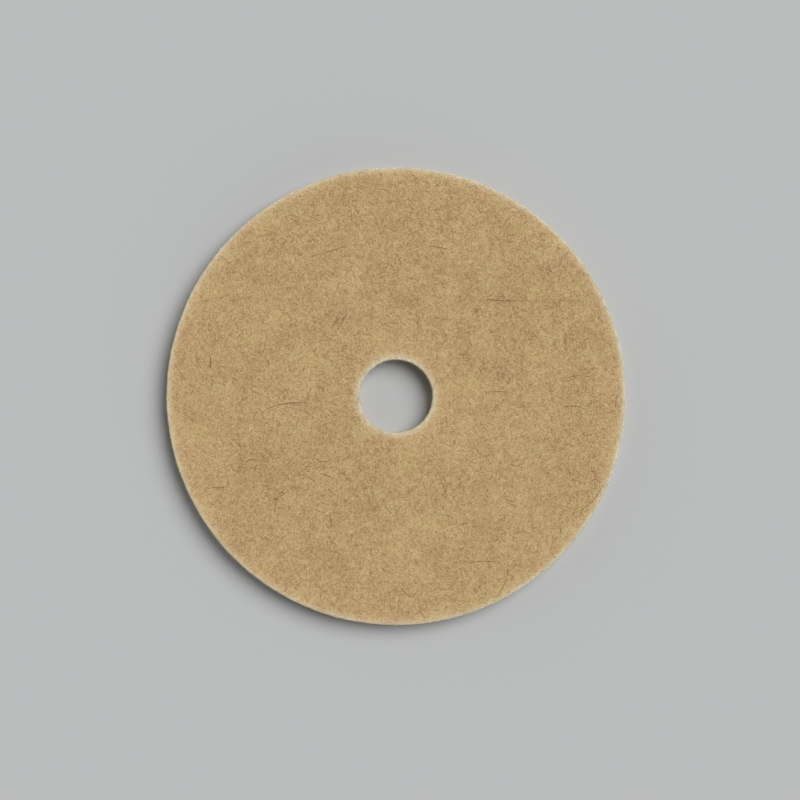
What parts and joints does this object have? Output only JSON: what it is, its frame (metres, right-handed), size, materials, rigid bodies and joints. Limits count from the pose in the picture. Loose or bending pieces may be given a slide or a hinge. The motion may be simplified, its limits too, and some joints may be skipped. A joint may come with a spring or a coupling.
{
  "type": "felt polishing wheel",
  "caption": "Thin laminated felt polishing wheel: a flat round disc with a central spindle bore, tan working faces and a cream core that shows at the cut edges.",
  "frame": {"origin": "centre of the bore at the rear face, which is the face it lies on", "axes": "+Z along the spindle axis, from the rear face to the front face"},
  "size_m": [0.1, 0.1, 0.004],
  "materials": {
    "tan_felt": "matt pressed wool felt, tan",
    "cream_felt": "matt pressed wool felt, cream",
    "cement": "dried rubber cement, amber"
  },
  "bodies": {
    "root": {"front_face_ply": "tan_felt", "front_cement_film": "cement", "core_ply": "cream_felt", "rear_cement_film": "cement", "rear_face_ply": "tan_felt"}
  },
  "joints": []
}
